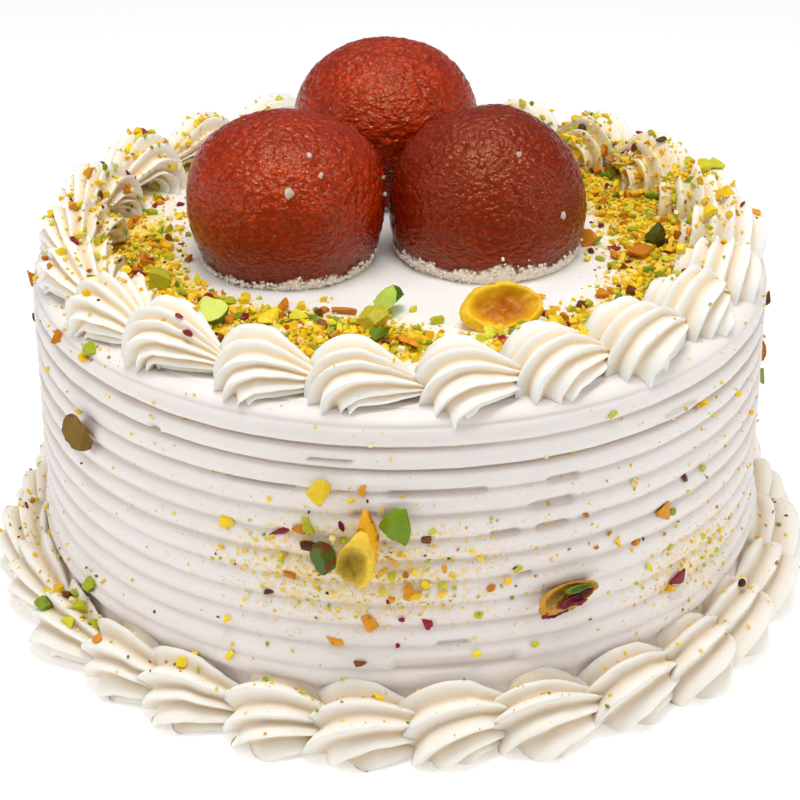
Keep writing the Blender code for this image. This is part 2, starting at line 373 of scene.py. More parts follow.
def finned_shell(dice, length, half_width, height, teeth, rows, fin_depth, start_degrees, twist_degrees,
                 roll_degrees):
    """One shell as a grid of points, with painted shade for each. x runs from head to tail, y out from the cake.

    Its star-shaped sections first fan round a hinge near the foot, from where the nozzle touched the cake up to
    the vertical, then shrink along the tail. Last the whole shell is rolled outwards.
    """
    along = np.linspace(0, 1, rows)
    fan = np.clip(1 - along / 0.52, 0, 1)
    pull = np.clip((along - 0.52) / 0.48, 0, 1)
    lean = (math.radians(start_degrees) * fan - math.radians(14) * pull)[:, None]
    hinge_x = 0.12 * length
    hinge_z = 0.04 * height
    swing = 0.30 * height
    middle_x = (hinge_x + 0.50 * length * pull)[:, None] - swing * np.sin(lean)
    middle_z = hinge_z + swing * np.cos(lean) * (1 - 0.72 * pull)[:, None]
    narrowing = np.clip((along - 0.36) / 0.64, 0, 1)
    size = ((1 - 0.95 * narrowing ** 1.25) * (1 - 0.10 * fan ** 2))[:, None]

    across_fin = [0.0, 0.06, 0.18, 0.34, 0.50, 0.63, 0.73, 0.83, 0.93]
    hidden_fin = [0.0, 0.6]
    phases = []
    for tooth in range(teeth):
        steps = hidden_fin if abs((tooth + 0.5) / teeth - 0.70) < 0.12 else across_fin
        phases += [tooth + step for step in steps]
    phase = np.array(phases)
    tooth_index = np.floor(phase).astype(int)
    between = phase - tooth_index
    tall = np.array([dice.uniform(0.88, 1.10) for _ in range(teeth)])
    tall = np.append(tall, tall[0])
    crest_at = np.array([tooth + dice.uniform(-0.18, 0.18) for tooth in range(teeth)])
    crest_at = np.append(crest_at, crest_at[0] + teeth)
    crest = tall[tooth_index] * (1 - between) + tall[tooth_index + 1] * between
    facing = crest_at[tooth_index] * (1 - between) + crest_at[tooth_index + 1] * between
    valley = np.sin(math.pi * between ** 1.75) ** 0.85
    splay = np.clip(1 - along / 0.35, 0, 1)[:, None] ** 1.5
    reach = crest * (1 + 0.06 * splay) - (fin_depth + 0.16 * splay) * valley
    theta = 2 * math.pi * (facing[None, :] + dice.uniform(0, 1)) / teeth
    theta = theta + math.radians(twist_degrees) * (along[:, None] - 0.35)
    over = np.sin(theta)
    outer = size * reach * over * np.where(over > 0, 0.64 * height, 0.95 * swing)
    x = middle_x - np.sin(lean) * outer
    y = half_width * size * reach * np.cos(theta)
    z = middle_z + np.cos(lean) * outer
    roll = math.radians(roll_degrees)
    grid = np.stack([x, y * math.cos(roll) + z * math.sin(roll), z * math.cos(roll) - y * math.sin(roll)], axis=-1)
    start = grid[:1].mean(axis=1, keepdims=True)
    start_in = start + 0.03 * length * np.array([1.0, 0.0, 0.3])
    grid = np.concatenate([start_in + 0.3 * (grid[:1] - start), grid])
    # Painted shade in the valleys between the fins, stronger towards the tail.
    crease_shade = np.broadcast_to(valley[None, :] ** 2.0 * (0.35 + 0.65 * along[:, None]), theta.shape)
    return grid, np.concatenate([crease_shade[:1], crease_shade])


def piped_border(name, shells, ring_radius, base, lowest, turn, seed, make_shell, cream):
    """Lays shells round a circle, each bent to the circle, and joins them into one piece."""
    dice = random.Random(seed)
    shapes = []
    crease_shades = []
    for shell in range(shells):
        grid, crease_shade = make_shell(dice)
        angle = turn + 2 * math.pi * (shell + dice.uniform(-0.06, 0.06)) / shells
        yaw = math.radians(dice.uniform(-7, 5))
        along = grid[..., 0] * math.cos(yaw) - grid[..., 1] * math.sin(yaw)
        out = grid[..., 0] * math.sin(yaw) + grid[..., 1] * math.cos(yaw) + dice.uniform(-0.5, 0.5) * MM
        rise = np.maximum(grid[..., 2], lowest)
        placed = round_the_cake(ring_radius + out, angle + along / ring_radius, base + rise)
        points, faces = closed_grid(placed)
        wobble = unevenness(points, 4 * MM, seed, 2)
        points[:, 2] += 0.22 * MM * wobble * (points[:, 2] > base + lowest + 1 * MM)
        points[:, :2] *= (1 + 0.0030 * unevenness(points, 5 * MM, seed + 1, 2))[:, None]
        shapes.append((points, [face[::-1] for face in faces]))
        crease_shades.append(np.append(crease_shade.ravel(), [0, 0]))
    border = joined(name, shapes)
    # The painted shade in the shells' valleys, for the cream to read.
    mark(border, "crease_shade", np.concatenate(crease_shades))
    border.data.materials.append(cream)
    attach(border, "root")
    return border


def top_shell(dice):
    grow = dice.uniform(0.94, 1.05)
    return finned_shell(
        dice, length=26 * MM * grow, half_width=10.4 * MM * dice.uniform(0.94, 1.05), height=14.6 * MM * grow,
        teeth=13, rows=30, fin_depth=0.25, start_degrees=dice.uniform(100, 135),
        twist_degrees=dice.uniform(0, 65), roll_degrees=dice.uniform(11, 17))


piped_cream = whipped_cream("piped_whipped_cream", "#FFFDF7", "#E9C47C", "#FFE98C", 1.6, streaks=False)
top_shells = piped_border(
    "top_shells", TOP_SHELLS, TOP_RING_RADIUS, CAKE_TOP, -7.5 * MM, TOP_SHELL_TURN, 41, top_shell, piped_cream)
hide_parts("top_border")
shell_points = np.array([v.co for v in top_shells.data.vertices])
shell_angles = np.arctan2(shell_points[:, 0], -shell_points[:, 1])
shell_radii = np.hypot(shell_points[:, 0], shell_points[:, 1])
mark(top_shells, "dusted", crumb_cover(TOP_HANDFULS, shell_angles, shell_radii) * 0.5)

# ------------------------------------------------------------------------------------------------------------
# The border of shells round the foot. Pressed from a larger nozzle in the corner between the board and the cake,
# so that each leans on the side, with a tall fin standing against it.
# ------------------------------------------------------------------------------------------------------------
FOOT_SHELLS = 28
FOOT_RING_RADIUS = 86.0 * MM
FOOT_SHELL_TURN = math.radians(-5.6)


def foot_shell(dice):
    grow = dice.uniform(0.95, 1.05)
    return finned_shell(
        dice, length=30 * MM * grow, half_width=11.0 * MM * dice.uniform(0.96, 1.03), height=19.0 * MM * grow,
        teeth=11, rows=28, fin_depth=0.26, start_degrees=dice.uniform(90, 125),
        twist_degrees=dice.uniform(-5, 50), roll_degrees=dice.uniform(20, 30))


foot_cream = whipped_cream("whipped_cream_at_foot", "#FFFAF1", "#CFAE78", "#FFE98C", 1.6, streaks=False)
foot_shells = piped_border(
    "foot_shells", FOOT_SHELLS, FOOT_RING_RADIUS, 0.0, 0.2 * MM, FOOT_SHELL_TURN, 57, foot_shell, foot_cream)
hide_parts("foot_border")

# ------------------------------------------------------------------------------------------------------------
# The gulab jamuns. Balls of milk-solid dough fried until their skin is red-brown and pebbled, then soaked in
# syrup, which makes each bump glint. They are soft, so they have slumped on to wide flats.
# ------------------------------------------------------------------------------------------------------------
# For each: the height of its widest level, the radius of the flat underneath, both in mm, a seed, and the least
# share of the darker, browner colour that it takes anywhere on its skin
JAMUNS = {
    "jamun_left": (16.6, 19.0, 61, 0.12),
    "jamun_right": (11.2, 20.6, 62, 0.72),
    "jamun_back": (18.5, 18.0, 63, 0.0),
}
JAMUN_ROWS = (32, 74)
JAMUN_COLUMNS = 240
PEBBLE = 1.5 * MM

# The pale rim at the foot of each: its height in mm, where it is highest in degrees from the front, how much
# higher it is there
RIMS = {
    "jamun_left": (0.9, 48, 1.7),
    "jamun_right": (1.6, 5, 2.2),
    "jamun_back": (1.0, 180, 0.6),
}


def fried_skin():
    """Fried milk dough soaked in syrup: red-brown, a wet glint on each bump, painted brown shade low down and in pits.
    """
    material = new_material("syrup_soaked_jamun_skin")
    place = add_node(material, "TexCoord").outputs["Object"]
    blotches = add_node(material, "TexNoise", None, {"Vector": place, "Scale": 1 / (6 * MM), "Detail": 3.0})
    wrinkled = add_node(material, "Mapping", {"vector_type": "POINT"}, {"Vector": place, "Scale": (0.85, 0.85, 1.2)})
    grains = add_node(material, "TexVoronoi", {"feature": "SMOOTH_F1"}, {
        "Vector": wrinkled.outputs["Vector"], "Scale": 1 / (1.35 * MM), "Smoothness": 0.35, "Detail": 1.0})
    wrinkles = add_node(material, "TexNoise", None, {
        "Vector": wrinkled.outputs["Vector"], "Scale": 1 / (0.7 * MM), "Detail": 2.0, "Roughness": 0.5})
    fine_wrinkles = add_node(material, "Math", {"operation": "MULTIPLY"}, {0: wrinkles.outputs["Fac"], 1: 0.75})
    # Painted shade low down: the browned value turns the skin darker and browner over the lowest part of each ball.
    browned_and_low_shade = add_node(material, "Attribute", {"attribute_name": "browned_and_low_shade"})
    pale_foot = add_node(material, "Attribute", {"attribute_name": "pale_foot"})
    warm = add_node(material, "Mix", {"data_type": "RGBA"}, {
        0: blotches.outputs["Fac"], 6: linear("#981400"), 7: linear("#E84200")})
    browner_and_shaded = add_node(material, "Mix", {"data_type": "RGBA"}, {
        0: browned_and_low_shade.outputs["Fac"], 6: warm.outputs[2], 7: linear("#7E1E00")})
    # Painted shade in the pits between bumps: the skin darkens towards the edges of each grain.
    pit_shade = add_node(material, "MapRange", None, {
        "Value": grains.outputs["Distance"], "From Min": 0.3, "From Max": 0.8, "To Min": 0.0, "To Max": 0.55})
    pit_shaded = add_node(material, "Mix", {"data_type": "RGBA"}, {
        0: pit_shade.outputs["Result"], 6: browner_and_shaded.outputs[2], 7: linear("#5E1002")})
    fine_grain = add_node(material, "TexNoise", None, {"Vector": place, "Scale": 1 / (0.55 * MM), "Detail": 2.0})
    toasted = add_node(material, "MapRange", None, {
        "Value": fine_grain.outputs["Fac"], "From Min": 0.55, "From Max": 0.66, "To Min": 0.0, "To Max": 0.6})
    milk_crumbs = add_node(material, "Mix", {"data_type": "RGBA"}, {
        0: toasted.outputs["Result"], 6: linear("#FFFAF0"), 7: linear("#D2AE7C")})
    crumbed = add_node(material, "Mix", {"data_type": "RGBA"}, {
        0: pale_foot.outputs["Fac"], 6: pit_shaded.outputs[2], 7: milk_crumbs.outputs[2]})
    height = add_node(material, "Math", {"operation": "SUBTRACT"}, {
        0: fine_wrinkles.outputs["Value"], 1: grains.outputs["Distance"]})
    bump = add_node(material, "Bump", None, {
        "Strength": 1.0, "Distance": 0.36 * MM, "Height": height.outputs["Value"]})
    shader = add_node(material, "BsdfPrincipled", {"subsurface_method": "RANDOM_WALK"}, {
        "Base Color": crumbed.outputs[2], "Roughness": 0.13, "IOR": 1.45, "Specular IOR Level": 0.75,
        "Specular Tint": (1.0, 0.58, 0.32, 1.0), "Subsurface Weight": 0.04,
        "Subsurface Radius": (1.0, 0.2, 0.05), "Subsurface Scale": 1.2 * MM, "Normal": bump.outputs["Normal"]})
    add_node(material, "OutputMaterial", None, {"Surface": shader.outputs["BSDF"]})
    return material


def rim_height(name, turn):
    usual, peak_degrees, extra = RIMS[name]
    wavy = 1 + 0.35 * np.sin(5 * turn + 1) * np.sin(11 * turn)
    return (usual + extra * np.maximum(0.0, np.cos(turn - math.radians(peak_degrees)))) * wavy * MM


def jamun_outline(low, high, widest, flat):
    """Radius, height and facing up the ball's side: a slumped lower part, then a dome."""
    radius = (high.x - low.x) / 2
    below = widest * MM
    above = high.z - low.z - below
    narrowing = math.sqrt(1 - (flat * MM / radius) ** 2)
    down = np.linspace(1, 0, JAMUN_ROWS[0], endpoint=False)
    low_radius = radius * np.sqrt(1 - (narrowing * down) ** 2)
    low_facing = np.arctan2(-narrowing ** 2 * down * radius, low_radius * below / radius)
    rise = np.linspace(0, math.radians(89), JAMUN_ROWS[1])
    radii = np.concatenate([low_radius, radius * np.cos(rise)])
    heights = np.concatenate([below * (1 - down), below + above * np.sin(rise)])
    return radii, heights, np.concatenate([low_facing, rise])


def add_jamun(name):
    low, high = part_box(name)
    widest, flat, seed, fried = JAMUNS[name]
    radii, heights, facing = jamun_outline(low, high, widest, flat)
    turn = np.linspace(0, 2 * math.pi, JAMUN_COLUMNS, endpoint=False)
    middle = np.array([(low.x + high.x) / 2, (low.y + high.y) / 2, low.z])
    surface = round_the_cake(radii[:, None], turn[None, :], heights[:, None]) + middle
    normal = round_the_cake(np.cos(facing)[:, None], turn[None, :], np.sin(facing)[:, None])
    spots = surface.reshape(-1, 3)
    bent = spots * np.array([0.8, 0.8, 1.2]) + 0.5 * MM * unevenness(spots, 1.8 * MM, seed + 5, 1)[:, None]
    pebbles = np.array([noise.voronoi(Vector(p) / PEBBLE)[0][0] for p in bent])
    skin = 0.45 * MM * unevenness(spots, 16 * MM, seed, 2) + 0.14 * MM * unevenness(spots, 3.2 * MM, seed + 3)
    upper = np.clip(heights / (14 * MM), 0.4, 1)[:, None] + 0 * turn
    skin = (skin - 0.55 * MM * pebbles ** 1.7 * upper.ravel()).reshape(upper.shape)
    ragged = unevenness(spots, 1.6 * MM, seed + 7).reshape(upper.shape)
    crumbed = (rim_height(name, turn)[None, :] + 1.5 * MM * ragged - heights[:, None]) / (0.5 * MM)
    crumbed = np.clip(crumbed, 0, 1)
    skin += crumbed * (0.35 + 0.45 * unevenness(spots, 0.8 * MM, seed + 9, 2).reshape(upper.shape)) * MM
    surface = surface + normal * skin[..., None]
    surface[..., 2] = np.maximum(surface[..., 2], low.z - 0.5 * MM)
    ball = joined("fried_" + name, [closed_grid(surface)])
    # Painted shade: darker and browner over the lowest 15 mm, and each ball takes at least its own share all over.
    mark_grid(ball, "browned_and_low_shade", np.clip(1.15 - heights / (15 * MM), fried, 1)[:, None] + 0 * turn)
    mark_grid(ball, "pale_foot", crumbed)
    ball.data.materials.append(skin_of_jamun)
    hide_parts(name)
    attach(ball, "root")
    return ball


skin_of_jamun = fried_skin()
fried_balls = [add_jamun(name) for name in JAMUNS]

# ------------------------------------------------------------------------------------------------------------
# Chopped pieces. Nuts and crumbs break into lumps with flat cut faces, so each starts as a pebble with slices
# taken off it.
# ------------------------------------------------------------------------------------------------------------


def pebble(subdivisions):
    """The points and faces of a ball of triangles, one across, or of an eight-sided grain."""
    if subdivisions == 0:
        ends = np.concatenate([np.eye(3), -np.eye(3)]) * 0.5
        return ends, [[0, 1, 2], [1, 3, 2], [3, 4, 2], [4, 0, 2], [1, 0, 5], [3, 1, 5], [4, 3, 5], [0, 4, 5]]
    ball = bmesh.new()
    bmesh.ops.create_icosphere(ball, subdivisions=subdivisions, radius=0.5)
    points = np.array([v.co for v in ball.verts])
    faces = [[v.index for v in f.verts] for f in ball.faces]
    ball.free()
    return points, faces


def chopped_lump(dice, subdivisions, cuts, lumpiness=0.10, first_cut=None, first_depth=0.2):
    """A pebble with flat cuts. Gives its points, its faces, and how far each point lies on a cut."""
    points, faces = pebble(subdivisions)
    rough = unevenness(points, 0.45, dice.randrange(1000), 2)
    points = points * (1 + lumpiness * rough)[:, None]
    on_cut = np.zeros(len(points))
    for cut in range(cuts):
        facing = np.array([dice.gauss(0, 1) for _ in range(3)])
        depth = dice.uniform(0.14, 0.34)
        if cut == 0 and first_cut:
            facing = np.array(first_cut)
            depth = first_depth
        facing = facing / np.linalg.norm(facing)
        over = points @ facing - depth
        points = points - np.maximum(over, 0)[:, None] * facing
        on_cut = np.maximum(on_cut, np.clip(over / 0.04, 0, 1))
    span = points.max(axis=0) - points.min(axis=0)
    return (points - points.min(axis=0)) / span - 0.5, faces, on_cut


def nut_flesh(name, light, deep_tone_and_hollow_shade, skin, skin_share=0.3, roughness=0.45, soak=0.0):
    """A broken pistachio: moist flesh on the cut faces, a thin papery skin elsewhere, and a fine mealy grain."""
    material = new_material(name)
    place = add_node(material, "TexCoord").outputs["Object"]
    mottle = add_node(material, "TexNoise", None, {"Vector": place, "Scale": 1 / (1.7 * MM), "Detail": 4.0})
    meal = add_node(material, "TexNoise", None, {"Vector": place, "Scale": 1 / (0.45 * MM), "Detail": 3.0})
    on_cut = add_node(material, "Attribute", {"attribute_name": "on_cut"})
    tone_and_hollow_shade = add_node(material, "Attribute", {"attribute_name": "tone_and_hollow_shade"})
    streaky = add_node(material, "Math", {"operation": "MULTIPLY_ADD"}, {
        0: mottle.outputs["Fac"], 1: 0.7, 2: -0.35})
    shade = add_node(material, "Math", {"operation": "ADD", "use_clamp": True}, {
        0: tone_and_hollow_shade.outputs["Fac"], 1: streaky.outputs["Value"]})
    # Light to deep colour by the tone and mottle: a tone that differs at random on crumbs, painted shade in the hollow
    # of a half kernel.
    flesh = add_node(material, "Mix", {"data_type": "RGBA"}, {
        0: shade.outputs["Value"], 6: linear(light), 7: linear(deep_tone_and_hollow_shade)})
    threshold = 0.75 - 0.5 * skin_share
    patches = add_node(material, "MapRange", None, {
        "Value": mottle.outputs["Fac"], "From Min": threshold, "From Max": threshold + 0.07})
    off_cut = add_node(material, "Math", {"operation": "SUBTRACT"}, {0: 1.0, 1: on_cut.outputs["Fac"]})
    skinned = add_node(material, "Math", {"operation": "MULTIPLY", "use_clamp": True}, {
        0: patches.outputs["Result"], 1: off_cut.outputs["Value"]})
    covered = add_node(material, "Mix", {"data_type": "RGBA"}, {
        0: skinned.outputs["Value"], 6: flesh.outputs[2], 7: linear(skin)})
    bump = add_node(material, "Bump", None, {
        "Strength": 0.45, "Distance": 0.2 * MM, "Height": meal.outputs["Fac"]})
    shader = add_node(material, "BsdfPrincipled", {"subsurface_method": "RANDOM_WALK"}, {
        "Base Color": covered.outputs[2], "Roughness": roughness, "IOR": 1.45, "Specular IOR Level": 0.28,
        "Subsurface Weight": soak, "Subsurface Radius": (1.0, 0.8, 0.2), "Subsurface Scale": 0.7 * MM,
        "Normal": bump.outputs["Normal"]})
    add_node(material, "OutputMaterial", None, {"Surface": shader.outputs["BSDF"]})
    return material


def finish_nut(piece, material, on_cut, tone_and_hollow_shade):
    mark(piece, "on_cut", on_cut)
    mark(piece, "tone_and_hollow_shade", tone_and_hollow_shade)
    piece.data.materials.append(material)
    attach(piece, "root")


# ------------------------------------------------------------------------------------------------------------
# The pale rim round the foot of each gulab jamun: coarse milk-solid crumbs that have stuck to the wet skin where
# it meets the cream, heaped higher towards the front.
# ------------------------------------------------------------------------------------------------------------
RIM_GRAINS = 520
rim_dice = random.Random(91)
rim_shapes = []
rim_tones = []
grain_kinds = [chopped_lump(rim_dice, 1, 1, 0.3) for _ in range(8)]
for name in JAMUNS:
    low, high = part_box(name)
    radii, heights, facing = jamun_outline(low, high, JAMUNS[name][0], JAMUNS[name][1])
    for _ in range(RIM_GRAINS):
        turn = rim_dice.uniform(-math.pi, math.pi)
        height = rim_height(name, turn) * (1.15 + rim_dice.gauss(0, 0.3)) * rim_dice.random() ** 0.7
        height = max(0.0, height)
        radius = np.interp(height, heights, radii) + 0.45 * MM
        centre = np.array([(low.x + high.x) / 2, (low.y + high.y) / 2, low.z])
        spot = centre + np.array([radius * math.sin(turn), -radius * math.cos(turn), height])
        lump, faces, _ = grain_kinds[rim_dice.randrange(len(grain_kinds))]
        size = rim_dice.uniform(0.4, 1.05) * MM * np.array([1.0, 0.8, rim_dice.uniform(0.5, 1.0)])
        spin = np.array(Matrix.Rotation(rim_dice.uniform(0, 6.3), 3, (rim_dice.random(), 0.4, 0.6)))
        rim_shapes.append(((lump * size) @ spin.T + spot, faces))
        rim_tones.append(np.full(len(lump), rim_dice.random() ** 2))
rim_crumbs = joined("rim_crumbs", rim_shapes, 50)
rim_tones = np.concatenate(rim_tones)
milk_crumb = nut_flesh("milk_solid_crumbs", "#FFFDF5", "#E8D0A2", "#D6B47C", 0.0, 0.6)
finish_nut(rim_crumbs, milk_crumb, 0 * rim_tones, rim_tones * 0.6)

# ------------------------------------------------------------------------------------------------------------
# Coarse sugar: a few crystals that have dried out of the syrup on the front gulab jamuns.
# ------------------------------------------------------------------------------------------------------------
# On which ball, degrees from the front, height above the cake's top and size, both in mm
CRYSTALS = [
    ("jamun_left", 5, 24.2, 3.0),
    ("jamun_left", 24, 30.4, 1.6),
    ("jamun_left", 27, 27.0, 1.5),
    ("jamun_left", 78, 17.5, 1.2),
    ("jamun_left", 82, 21.0, 1.1),
    ("jamun_right", 46, 14.6, 2.0),
    ("jamun_right", 25, 28.6, 1.7),
]
crystal_dice = random.Random(17)
crystal_shapes = []
for name, degrees, height, size in CRYSTALS:
    low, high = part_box(name)
    radii, heights, facing = jamun_outline(low, high, JAMUNS[name][0], JAMUNS[name][1])
    radius = np.interp(height * MM, heights, radii) + 0.05 * MM
    turn = math.radians(degrees)
    centre = np.array([(low.x + high.x) / 2, (low.y + high.y) / 2, low.z])
    lump, faces, _ = chopped_lump(crystal_dice, 2, 6, 0.05)
    shape = lump * np.array([0.75, 0.6, 1.0]) * size * MM
    spot = np.array([radius * math.sin(turn), -radius * math.cos(turn), height * MM])
    crystal_shapes.append((shape + centre + spot, faces))
sugar_crystals = joined("sugar_crystals", crystal_shapes, 25)
sugar = new_material("dried_syrup_sugar")
glaze = add_node(sugar, "BsdfPrincipled", None, {
    "Base Color": linear("#FFF0E2"), "Roughness": 0.15, "IOR": 1.5, "Transmission Weight": 0.35})
add_node(sugar, "OutputMaterial", None, {"Surface": glaze.outputs["BSDF"]})
sugar_crystals.data.materials.append(sugar)
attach(sugar_crystals, "root")

# ------------------------------------------------------------------------------------------------------------
# The half kernels: pistachios split along their length, lying with the split face out. Each has a thick rim round
# a shallow hollow, and is rounded behind, where it is pressed into the cream.
# ------------------------------------------------------------------------------------------------------------
# For each: the CAD solid where it lies, and mm to the right, front and up from its middle; length, width, thickness
# and depth of the hollow in mm; how pointed it is; the hollow's place along and across as parts of the width;
# which way the split face looks and its long axis lies (right, front, up); its colours, share of skin, and slot
HALF_KERNELS = {
    "half_in_front": (
        "kernel_front", (0, 0, 0), (17.5, 12.5, 6.5, 3.2, 0.12, (0.05, 0.0)), (0.05, 0.70, 0.72), (1.0, 0.0, 0.12),
        ("#FBCB2A", "#C06A0A", "#EFA61A", 0.3), "pistachio_kernel"),
    "petal_on_side": (
        "side_kernel", (1.7, 0.0, 2.2), (12.0, 6.4, 3.4, 0.9, 0.70, (-0.3, 0.1)), (-0.5, 1.0, 0.1), (-0.08, 0.0, 1.0),
        ("#F2AE1C", "#C87C12", "#B4660E", 0.5), "pistachio_kernel"),
    "bowl_on_side": (
        "side_kernel", (-0.7, 1.4, -1.9), (12.6, 11.0, 4.0, 2.6, 0.55, (-0.22, 0.08)), (-0.1, 1.0, 0.25), (0.22, 0.0, 1.0),
        ("#F6D040", "#9A7C14", "#D2A41E", 0.4), "pistachio_kernel"),
    "half_on_side": (
        "side_half", (0, 0, 0), (14.8, 6.6, 4.6, 1.6, 0.35, (0.0, 0.05)), (0.05, 0.9, 0.42), (1.0, 0.0, 0.18),
        ("#C8922E", "#86641A", "#7C3E1A", 0.8), "pistachio_skin"),
    "skin_below_half": (
        "side_half", (-1.6, 1.5, -1.7), (11.5, 2.6, 2.2, 0.3, 0.4, (0.0, 0.0)), (0.0, 1.0, 0.0), (1.0, 0.0, 0.16),
        ("#8E1A40", "#5A0C26", "#6A1430", 0.5), "pistachio_skin"),
    "skin_in_half": (
        "side_half", (1.4, 1.6, 0.5), (8.5, 1.5, 1.6, 0.2, 0.4, (0.0, 0.0)), (0.0, 1.0, 0.2), (1.0, 0.0, 0.26),
        ("#7A1A30", "#4A0E1E", "#5A1020", 0.5), "pistachio_skin"),
    "green_above_half": (
        "side_half", (2.2, 1.0, 2.3), (7.5, 2.0, 2.2, 0.2, 0.5, (0.0, 0.0)), (0.0, 1.0, 0.5), (1.0, 0.0, 0.05),
        ("#6E8420", "#3E5210", "#2F3E0E", 0.5), "pistachio_green"),
}
KERNEL_COLUMNS = 72
FACE_ROWS = 20
BACK_ROWS = 12


def half_kernel(seed, length, width, thickness, hollow, pointed, hollow_at):
    """A split kernel as a closed grid, its face up, with how deep in the hollow each point lies."""
    turn = np.linspace(0, 2 * math.pi, KERNEL_COLUMNS, endpoint=False)[None, :]
    face_part = np.linspace(0.02, 1, FACE_ROWS)[:, None]
    back_part = np.linspace(1, 0.02, BACK_ROWS)[1:, None]
    part = np.concatenate([face_part, back_part])
    part = part + 0 * turn
    x = 0.5 * length * part * np.cos(turn)
    y = 0.5 * width * part * np.sin(turn) * (1 - pointed * 0.55 * (1 + np.cos(turn)) * part ** 2)
    on_face = np.arange(len(part))[:, None] < FACE_ROWS
    off_x = x / width - hollow_at[0]
    off_y = y / width - hollow_at[1]
    stretch = 0.42 * length / width
    dip = np.clip(1 - (off_x / stretch) ** 2 - (off_y / 0.36) ** 2, 0, 1) ** 0.7
    rolled = 0.22 * thickness * np.clip((part - 0.80) / 0.20, 0, 1) ** 2
    back = 0.22 * thickness + 0.78 * thickness * np.sqrt(np.clip(1 - part ** 2, 0, 1))
    z = np.where(on_face, -hollow * dip - rolled, -back)
    grid = np.stack([x, y, z], axis=-1) * MM
    rough = unevenness(grid.reshape(-1, 3), 3.0 * MM, seed).reshape(z.shape)
    fine = unevenness(grid.reshape(-1, 3), 0.9 * MM, seed + 1).reshape(z.shape)
    grid[..., 2] += (0.75 * rough + 0.2 * fine) * MM
    outline = unevenness(grid.reshape(-1, 3), 6 * MM, seed + 2, 2).reshape(z.shape)
    grid[..., :2] *= (1 + 0.16 * outline + 0.04 * fine)[..., None]
    return grid, np.where(on_face, dip, 0), on_face + 0 * turn


def place_axes(name):
    """Where a CAD solid is, and the directions right, front and up as seen from outside the cake at its place."""
    low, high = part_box(name)
    middle = np.array((low + high) / 2)
    on_side = middle[2] < CAKE_TOP
    turn = math.atan2(middle[0], -middle[1]) if on_side else 0.0
    right = np.array([math.cos(turn), math.sin(turn), 0])
    front = np.array([math.sin(turn), -math.cos(turn), 0])
    return middle, np.array([right, front, (0.0, 0.0, 1.0)]), np.array(high - low)


replaced = set()
for index, (name, kernel) in enumerate(HALF_KERNELS.items()):
    solid, offset, shape_values, face_way, long_way, (*colours, skin_share), slot = kernel
    grid, dip, on_face = half_kernel(500 + index, *shape_values)
    middle, axes, _ = place_axes(solid)
    facing = Vector(np.array(face_way) @ axes).normalized()
    along = Vector(np.array(long_way) @ axes)
    along = (along - facing * along.dot(facing)).normalized()
    across = facing.cross(along)
    placed = grid @ np.array([along, across, facing])
    placed += middle - 0.5 * (placed.reshape(-1, 3).max(axis=0) + placed.reshape(-1, 3).min(axis=0))
    placed += np.array(offset) @ axes * MM
    kernel_piece = joined(name, [closed_grid(placed)])
    flesh = nut_flesh("flesh_of_" + name, *colours, skin_share, 0.36, 0.15)
    # The hollow's depth goes in as the tone: painted shade, the flesh darkening towards its deep colour down in the
    # hollow.
    finish_nut(kernel_piece, flesh, np.append(on_face.ravel(), [1, 0]), np.append(dip.ravel(), [1, 0]))
    if solid not in replaced:
        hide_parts(solid)
    replaced.add(solid)

# ------------------------------------------------------------------------------------------------------------
# The large chunks: thick pieces chopped across the kernel, with one broad pale cut and dark skin behind it,
# pressed into the cream on the top and the side.
# ------------------------------------------------------------------------------------------------------------
# For each: which way its broad cut looks (right, front, up) and how near the middle it is, number of cuts, a
# lean in degrees, its three colours, share of skin, and its material slot
CHUNKS = {
    "chunk_front": ((-0.55, 0.65, 0.45), 0.16, 3, 0, ("#CBDE62", "#93B830", "#3E6814"), 0.9, "pistachio_green"),
    "chunk_edge": ((0.3, 0.5, 0.8), 0.34, 4, 10, ("#D8C63A", "#9C9A1E", "#7C8A1C"), 0.4, "pistachio_green"),
    "sliver_left": ((-0.1, 0.55, 0.8), 0.10, 2, 0, ("#E4EA74", "#B8CC3E", "#4A7016"), 1.0, "pistachio_green"),
    "chunk_left": ((-0.3, 0.6, 0.6), 0.28, 4, 0, ("#C8BE2C", "#86961C", "#4F6E18"), 0.7, "pistachio_green"),
    "chunk_right": ((-0.6, 0.7, 0.1), 0.20, 3, 0, ("#55702A", "#6E3A18", "#4A1E12"), 0.6, "pistachio_green"),
    "side_left": ((0.4, 0.9, 0.3), 0.26, 5, 15, ("#8E6C1C", "#5E4410", "#5A220E"), 0.8, "pistachio_skin"),
    "side_cube": ((0.1, 0.8, 0.7), 0.20, 4, 0, ("#F2C52C", "#B2B41E", "#A8B41C"), 0.5, "pistachio_kernel"),
    "side_dark": ((-0.5, 0.9, 0.3), 0.30, 3, -24, ("#4E6E1C", "#3C4E14", "#7C3E18"), 0.6, "pistachio_green"),
    "side_flake": ((0.12, 1.0, 0.1), 0.12, 5, 14, ("#849E20", "#527610", "#3C5E0E"), 0.5, "pistachio_green"),
}
for index, (name, chunk) in enumerate(CHUNKS.items()):
    first_cut, first_depth, cuts, lean, colours, skin_share, slot = chunk
    dice = random.Random(700 + index)
    lump, faces, on_cut = chopped_lump(dice, 4, cuts + 2, 0.16, first_cut, first_depth)
    middle, axes, spread = place_axes(name)
    tilt = np.array(Matrix.Rotation(math.radians(lean), 3, "Y"))
    size = np.abs(axes @ spread) if middle[2] > CAKE_TOP else np.array([spread[0], 4.6 * MM, spread[2]])
    placed = (lump * size * 1.08) @ tilt.T @ axes + middle
    placed += unevenness(placed, 0.9 * MM, index, 3)[:, None] * (placed - middle) * 0.06
    chunk_piece = joined("chopped_" + name, [(placed, faces)], 24)
    flesh = nut_flesh("flesh_of_" + name, *colours, skin_share, 0.38, 0.15)
    finish_nut(chunk_piece, flesh, on_cut, np.full(len(on_cut), 0.3))
    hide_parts(name)

